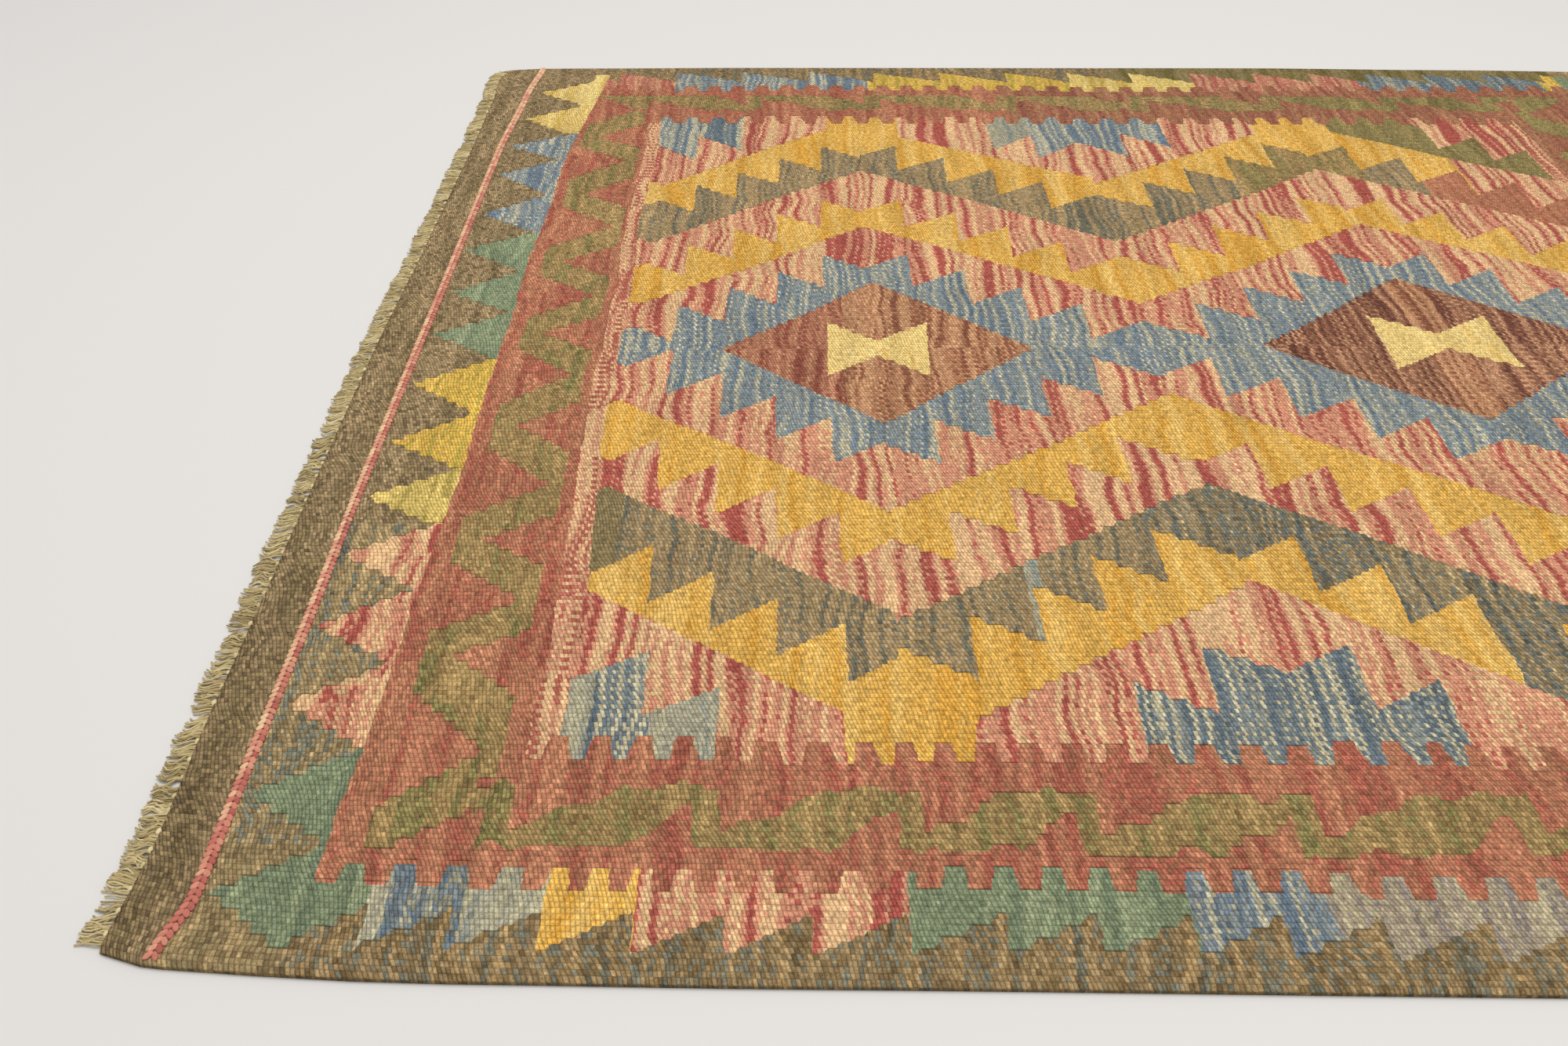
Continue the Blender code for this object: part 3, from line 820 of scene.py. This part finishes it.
# columns: noise, its lumps along and across in mm, detail
for name, long, wide, detail in (
    ("ripple", 40, 14, 1), ("bend", 60, 42, 1), ("fibre", 1, 1, 2), ("mottle", 2.6, 3.4, 2),
    ("abrash", 16, 70, 2),
):
    here[name] = soft_noise(long, wide, detail)[0]
sway(drift_u=6, drift_v=6, ripple=2.6, bend=12)
work_out(tree, here, """
    rib_place = MULTIPLY_ADD v ribs_per_mm middle_rib
    rib = FLOOR rib_place
    rib_share = FRACT rib_place
    odd = FLOORED_MODULO rib 2
    flank = MULTIPLY_ADD u per_flank first_flank, FLOOR, FLOORED_MODULO 2
    above = GREATER_THAN v middle_row
    inside = ABSOLUTE u, LESS_THAN field_half
    fine = ADD flank above, COMPARE 1 0.5, MULTIPLY inside
    block = SUBTRACT 2 fine
    block_mm = MULTIPLY block rib_mm
    block_place = DIVIDE rib_place block
    block_number = FLOOR block_place
    block_side = FRACT block_place, SUBTRACT 0.5
    toward = SIGN block_side
    block_middle = ADD block_number 0.5, MULTIPLY_ADD block_mm cloth_edge, ADD drift_v
    next_middle = MULTIPLY_ADD toward block_mm block_middle
    block_middle = MULTIPLY block_side block_mm, MULTIPLY_ADD step_lag block_middle
""")
jitter = add_node(tree, "TexWhiteNoise", {1: here["block_number"]}, noise_dimensions="1D")
here["jitter"] = jitter.outputs[0]
sway(jitter=0.8)
work_out(tree, here, "chart_u = ADD u drift_u, ADD ripple, ADD jitter")
readings = []
for across in ("block_middle", "next_middle"):
    reading = add_node(tree, "Group", node_tree=chart)
    tree.links.new(here["chart_u"], reading.inputs["Along"])
    tree.links.new(here[across], reading.inputs["Across"])
    readings.append(reading.outputs)
here.update(yarn=readings[0]["Yarn"], lot=readings[0]["Lot"], next_yarn=readings[1]["Yarn"])
print("a rib is", round(RIB_MM, 2), "mm wide and a bead", 2 * PICK_MM, "mm long")

# %% The picks and their shades
habits = [[percent / 100 for percent in row[4:8]] for row in YARNS]
habits += habits[:1] * (YARN_SLOTS - len(YARNS))
HABIT_NAMES = ("second_below", "third_above", "fleck_size", "run_length")
here.update(zip(HABIT_NAMES, read_numbers(tree, here["yarn"], habits)))
work_out(tree, here, """
    bent = ADD u bend
    bead_place = MULTIPLY odd 0.5
    bead_place = MULTIPLY_ADD bent beads_per_mm bead_place
    bead_place = MULTIPLY_ADD rib_share bead_slope bead_place
    bead = FLOOR bead_place
    bead_share = FRACT bead_place
    pick = MULTIPLY bead 2, SUBTRACT odd
    lot_row = MULTIPLY yarn yarn_apart
    lot_row = MULTIPLY_ADD lot lot_apart lot_row
    lot_row = MULTIPLY_ADD v lot_drift lot_row
    lot_whole = FLOOR lot
    pick_run = MULTIPLY pick tens_per_pick, DIVIDE run_length
""")
run_place = add_node(tree, "CombineXYZ", (here["pick_run"], here["lot_row"], 0)).outputs[0]
run = add_node(tree, "TexNoise", {0: run_place, 2: 1, 3: 1.5}, noise_dimensions="2D").outputs[0]
lone, fleck = dice(here["pick"], here["lot_whole"]), dice(here["bead"], here["rib"])
here.update(run=run, lone=lone, fleck=fleck)
sway(lone=0.06)
work_out(tree, here, """
    heather = SUBTRACT fleck 0.5, MULTIPLY fleck_size
    turn_up = ADD run lone
    turn_up = MULTIPLY_ADD heather 0.5 turn_up
    take_second = LESS_THAN turn_up second_below
    take_third = GREATER_THAN turn_up third_above
""")
shades = []
for column in (1, 2, 3):
    stops = [(count / YARN_SLOTS, linear(row[column])) for count, row in enumerate(YARNS)]
    shades.append(add_node(tree, "ValToRGB", (here["yarn"],), stops).outputs[0])
colour = shades[0]
for switch, shade in (("take_second", shades[1]), ("take_third", shades[2])):
    colour = add_node(tree, "Mix", {0: here[switch], 6: colour, 7: shade}, data_type="RGBA").outputs[2]

# %% The light on the wool
# fuzz, mottle and abrash are noises from 0 to 1, scaled and lifted so that each has a mean of 1
# Painted shade: valley and gap darken the colour in the valleys between ribs and between beads, more or less
# as the fibre noise varies.
# Painted shadow: where a slit lies, a thin dark line is painted into the colour.
work_out(tree, here, """
    fuzz = MULTIPLY_ADD fibre 1.3 0.35
    mottle = MULTIPLY_ADD mottle 1.2 0.4
    abrash = MULTIPLY_ADD abrash 0.5 0.75
    far_fade = MULTIPLY_ADD v across_slope 1, CLAMP 0 1
    faded = MULTIPLY_ADD u fade_slope fade_start, CLAMP 0 1, MULTIPLY far_fade, MULTIPLY_ADD fade_light 1
    valley = SUBTRACT rib_share 0.5, ABSOLUTE, MULTIPLY 2, POWER 4
    gap = SUBTRACT bead_share 0.5, ABSOLUTE, MULTIPLY 2, POWER 3
    worn = MULTIPLY_ADD fibre -1.4 0.28
    hollow = MULTIPLY gap 0.9, MAXIMUM valley, MULTIPLY_ADD worn 1.03
    not_browns = MINIMUM yarn next_yarn, LESS_THAN first_brown
    near_edge = ABSOLUTE block_side, GREATER_THAN slit_from
    slit_depth = MULTIPLY_ADD fine fine_slit block_slit
    slit = SUBTRACT yarn next_yarn, ABSOLUTE, GREATER_THAN 0.01, MULTIPLY not_browns, MULTIPLY near_edge
    slit = MULTIPLY_ADD slit slit_depth 1
    light = MULTIPLY_ADD heather 1.6 1.1, MULTIPLY fuzz, MULTIPLY mottle, MULTIPLY abrash
    light = MULTIPLY light faded, MULTIPLY hollow, MULTIPLY slit
    height = MULTIPLY_ADD gap -0.6 1
    height = MULTIPLY_ADD fibre 0.7 height
""")
colour = add_node(tree, "VectorMath", {0: colour, 3: here["light"]}, operation="SCALE").outputs[0]
bump = add_node(tree, "Bump", {"Strength": 1, "Distance": 0.6 * MM, "Height": here["height"]})
tree.links.new(colour, shader.inputs["Base Color"])
tree.links.new(bump.outputs[0], shader.inputs["Normal"])
print("the wool has", len(tree.nodes), "nodes besides the chart's")

# %% [markdown]
# The material is ready, so the ribbed cloth can become a piece. It stands for the plain CAD cloth.

# %% Cloth piece
cloth = finished_piece("woven_cloth", cloth_bm, wool)
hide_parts("kilim_cloth")

# %% [markdown]
# ## Many copies of one small shape
#
# Stitches, strands and knots come in hundreds. We model one, copy it until there are enough, and then
# walk over the copies and place the points of each. Copying keeps the points in order, so the seed's own
# points tell us which point of a copy is which.

# %% Copies of a small shape
def copies_of(shape, count):
    """Copy a small shape: give the copies, the shape's places, the copies' points and their tones."""
    seed = bpy.data.meshes.new("seed_shape")
    shape.to_mesh(seed)
    shape.free()
    bm = bmesh.new()
    bm.from_mesh(seed)
    bpy.data.meshes.remove(seed)
    places = [vert.co.copy() for vert in bm.verts]
    parts = (bm.verts, bm.edges, bm.faces)
    sizes = [len(part) for part in parts]
    made = 1
    while made < count:
        more = min(made, count - made)
        geom = [item for part, size in zip(parts, sizes) for item in part[:size * more]]
        bmesh.ops.duplicate(bm, geom=geom)
        made += more
    tones = bm.verts.layers.float.new("tone")
    return bm, places, iter(bm.verts), tones


def edge_frame(end, along_edge, inwards):
    """A place beside an end: its point on the cloth, the way outwards and the way along the edge."""
    x = end * (CLOTH_LENGTH / 2 - inwards)
    first, second = (Vector((*strayed(x, along_edge + shift * MM), 0.0)) for shift in (-1, 1))
    along = (second - first).normalized()
    return (first + second) / 2, Vector((end * along.y, -end * along.x, 0.0)), along


def spun_wool(name, shades, grain, least_light, relief, roughness):
    """Spun wool: each copy's tone picks its shade, and a grain, in lumps a metre, lights and raises it."""
    material, tree, shader = matt_material(name, roughness, specular=0.2)
    tone = add_node(tree, "Attribute", attribute_name="tone").outputs["Fac"]
    stops = [(spot, linear(shade)) for spot, shade in shades]
    shade = add_node(tree, "ValToRGB", (tone,), stops, "LINEAR").outputs[0]
    at = add_node(tree, "TexCoord").outputs["Object"]
    at = add_node(tree, "VectorMath", (at, (*grain, 0)), operation="MULTIPLY").outputs[0]
    fibres = add_node(tree, "TexNoise", {0: at, 2: 1, 3: 2}, noise_dimensions="3D").outputs[0]
    light = add_node(tree, "Math", (fibres, 0.7, least_light), operation="MULTIPLY_ADD").outputs[0]
    shade = add_node(tree, "VectorMath", {0: shade, 3: light}, operation="SCALE").outputs[0]
    bump = add_node(tree, "Bump", {"Strength": 1, "Distance": relief, "Height": fibres})
    tree.links.new(shade, shader.inputs["Base Color"])
    tree.links.new(bump.outputs[0], shader.inputs["Normal"])
    return material


# %% [markdown]
# ## The twined lines
#
# Before the pattern starts, the weaver works one row of twining across the warps and one back, in thicker
# two-ply yarn. The stitches of the first row lean one way and those of the second the other, so together
# they look like a plait. Each stitch is a small stretched ball that lies half sunk in the cloth. The two
# yarns are a cream and a rose one, and near the corner both rows are rose. A number kept on each stitch
# picks its shade.

# %% Twined lines
STITCH_PITCH = 3.45 * MM
STITCH_HALF = Vector((1.45, 2.45, 0.65)) * MM
STITCH_SLANT = math.radians(36)
ROW_HALF_APART = 1.45 * MM
STITCHES = 283
# columns: place along the end in mm, shade of the outer row, shade of the inner row
TWINE_SHADES = (
    (-490, 0.62, 0.76), (-430, 0.50, 0.72), (-350, 0.22, 0.68), (-150, 0.22, 0.66), (150, 0.34, 0.64),
    (300, 0.28, 0.45), (400, 0.20, 0.25), (490, 0.15, 0.20),
)
CREAM_TO_ROSE = ((0, "#DDB990"), (0.35, "#CF967A"), (0.65, "#BF7363"), (1, "#A65A4F"))
twine = spun_wool(
    "twined_two_ply_wool", CREAM_TO_ROSE,
    grain=(1100, 700), least_light=0.7, relief=0.3 * MM, roughness=0.88,
)


def twined_line(name, end, seed):
    """Two rows of leaning stitches side by side along an end."""
    pick = random.Random(seed)
    shape = bmesh.new()
    bmesh.ops.create_icosphere(shape, subdivisions=2, radius=1.0)
    bm, ball, points, tones = copies_of(shape, 2 * STITCHES)
    for number in range(2 * STITCHES):
        inner, stitch = divmod(number, STITCHES)
        side = STITCH_PITCH * (stitch + 0.5 - STITCHES / 2)
        middle, outwards, along = edge_frame(end, side, LINE_DISTANCE + (2 * inner - 1) * ROW_HALF_APART)
        slant = STITCH_SLANT * (2 * inner - 1) * pick.uniform(0.75, 1.2)
        long_way = along * math.cos(slant) + outwards * math.sin(slant)
        short_way = Vector((long_way.y, -long_way.x, 0.0))
        plump = pick.uniform(0.86, 1.1)
        height = surface_height(end * (CLOTH_LENGTH / 2 - LINE_DISTANCE), side) + 0.25 * MM
        shades = [(row[0], row[1 + inner]) for row in TWINE_SHADES]
        shade = read_table(shades, side / MM) + pick.uniform(-0.30, 0.30)
        for part in ball:
            vert = next(points)
            vert.co = middle + short_way * part.x * STITCH_HALF.x * plump + long_way * part.y * STITCH_HALF.y
            vert.co.z = height + part.z * STITCH_HALF.z * plump
            vert[tones] = shade
    return finished_piece(name, bm, twine)


line_left = twined_line("twined_line_left", -1, 3)
line_right = twined_line("twined_line_right", 1, 5)

# %% [markdown]
# ## The fringe
#
# The fringe is nothing added: it is the ends of the warps, cut about 12 mm long. The weaver has knotted
# them in small bunches against the last pick. They are handspun wool, so beyond the knot they curl and
# spread over the floor. Each strand is its own thin tube, bent along a path that starts inside the cloth's
# edge, passes through the knot and comes to rest on the floor. Fourteen share a knot. The small knot
# itself is a squashed ball.

# %% Fringe
BUNCHES, STRANDS_IN_BUNCH = 85, 14
FRINGE_INSET = 4.0 * MM
STRAND_RADIUS = 0.55 * MM
KNOT_HALF = Vector((1.3, 1.7, 1.0)) * MM
FLOOR_CLEARANCE = 0.02 * MM
# in mm: how far a bunch strays, half its spread at the roots and at the tips, how deep inside the cloth
# and how high a strand starts, how far it arches and the lowest that it rests
BUNCH_STRAY, ROOT_SPREAD, TIP_SPREAD = 0.7, 5.2, 5.6
ROOT_DEPTH, ROOT_HEIGHT, ARCH, LOWEST_REST = 1.6, 1.35, 0.5, 0.52
# least and most, in mm: lean and curl of a bunch, its length, stray of a tip, of a length and of a curl
LEANS, CURLS, LENGTHS = (-2.4, 1.6), (-2.4, 2.4), (10.6, 13.0)
TIP_STRAYS, LENGTH_STRAYS, CURL_STRAYS = (-2.4, 2.4), (-1.8, 0.8), (-1.3, 1.3)
WARP_SHADES = ((0, "#917E55"), (0.5, "#BBA778"), (1, "#DCCC9E"))
warp_wool = spun_wool(
    "cut_warp_wool", WARP_SHADES, grain=(700, 1600), least_light=0.65, relief=0.2 * MM, roughness=0.9,
)


def bunch_place(end, bunch, seed):
    """Where a bunch of warps leaves the cloth's end: the point, the way outwards and the way along."""
    pitch = (CLOTH_WIDTH - 2 * FRINGE_INSET) / BUNCHES
    stray = random.Random(1000 * seed + bunch).uniform(-BUNCH_STRAY, BUNCH_STRAY)
    side = FRINGE_INSET - CLOTH_WIDTH / 2 + pitch * (bunch + 0.5) + stray * MM
    return edge_frame(end, side, 0.0)


def fringe_strands(name, end, seed):
    """All the cut warps of an end, bunch by bunch."""
    pick = random.Random(seed)
    shape = bmesh.new()
    bmesh.ops.create_cone(shape, cap_ends=True, segments=5, radius1=1.0, radius2=1.0, depth=1.0)
    long_edges = [edge for edge in shape.edges if abs(edge.verts[0].co.z - edge.verts[1].co.z) > 0.5]
    bmesh.ops.subdivide_edges(shape, edges=long_edges, cuts=5)
    bm, tube, points, tones = copies_of(shape, BUNCHES * STRANDS_IN_BUNCH)
    for bunch in range(BUNCHES):
        root, outwards, along = bunch_place(end, bunch, seed)
        lean, curl, length = pick.uniform(*LEANS), pick.uniform(*CURLS), pick.uniform(*LENGTHS)
        bunch_tone = pick.uniform(0.25, 0.6)
        for strand in range(STRANDS_IN_BUNCH):
            spread = (2 * strand + 1) / STRANDS_IN_BUNCH - 1
            root_side = ROOT_SPREAD * spread
            tip_side = TIP_SPREAD * spread + lean + pick.uniform(*TIP_STRAYS)
            reach = length + pick.uniform(*LENGTH_STRAYS) - 0.7 * spread * spread
            swing = curl + pick.uniform(*CURL_STRAYS)
            rest_height = LOWEST_REST + 0.75 * pick.random() * (1.6 - abs(spread))
            strand_tone = bunch_tone + pick.uniform(-0.4, 0.4)

            def path(share):
                """A point of the strand in metres, at a share of its length."""
                ease = share * share * (3 - 2 * share)
                side = root_side + (tip_side - root_side) * ease + swing * math.sin(2 * math.pi * share)
                height = ROOT_HEIGHT * (1 - share) + rest_height * share + ARCH * math.sin(math.pi * share)
                outward = outwards * (-ROOT_DEPTH + (reach + ROOT_DEPTH) * share)
                return root + (outward + along * side + Vector((0, 0, height))) * MM

            for part in tube:
                vert = next(points)
                share = part.z + 0.5
                ahead = (path(share + 0.05) - path(share - 0.05)).normalized()
                sideways = Vector((-ahead.y, ahead.x, 0.0)).normalized()
                thick = STRAND_RADIUS * (1.0 - 0.25 * share)
                vert.co = path(share) + (sideways * part.x + ahead.cross(sideways) * part.y) * thick
                vert.co.z = max(vert.co.z, FLOOR_CLEARANCE)
                vert[tones] = strand_tone + 0.25 * share - 0.1
    bmesh.ops.recalc_face_normals(bm, faces=bm.faces)
    return finished_piece(name, bm, warp_wool)


def fringe_knots(name, end, seed):
    """The small knots that hold the bunches, set against the last pick."""
    pick = random.Random(seed)
    shape = bmesh.new()
    bmesh.ops.create_icosphere(shape, subdivisions=2, radius=1.0)
    bm, ball, points, tones = copies_of(shape, BUNCHES)
    for bunch in range(BUNCHES):
        root, outwards, along = bunch_place(end, bunch, seed)
        shift, plump = pick.uniform(-1.6, 0.8), pick.uniform(0.8, 1.15)
        shade = pick.uniform(0.55, 1.0)
        for part in ball:
            vert = next(points)
            across = along * (part.y * KNOT_HALF.y * plump + shift * MM)
            vert.co = root + outwards * (0.6 * MM + part.x * KNOT_HALF.x * plump) + across
            vert.co.z = 1.6 * MM + part.z * KNOT_HALF.z * plump
            vert[tones] = shade
    return finished_piece(name, bm, warp_wool)


fringe_pieces = []
for side_name, end, seed in (("left", -1, 11), ("right", 1, 23)):
    strands = fringe_strands("fringe_strands_" + side_name, end, seed)
    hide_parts("fringe_" + side_name)
    fringe_pieces += [strands, fringe_knots("fringe_knots_" + side_name, end, seed)]
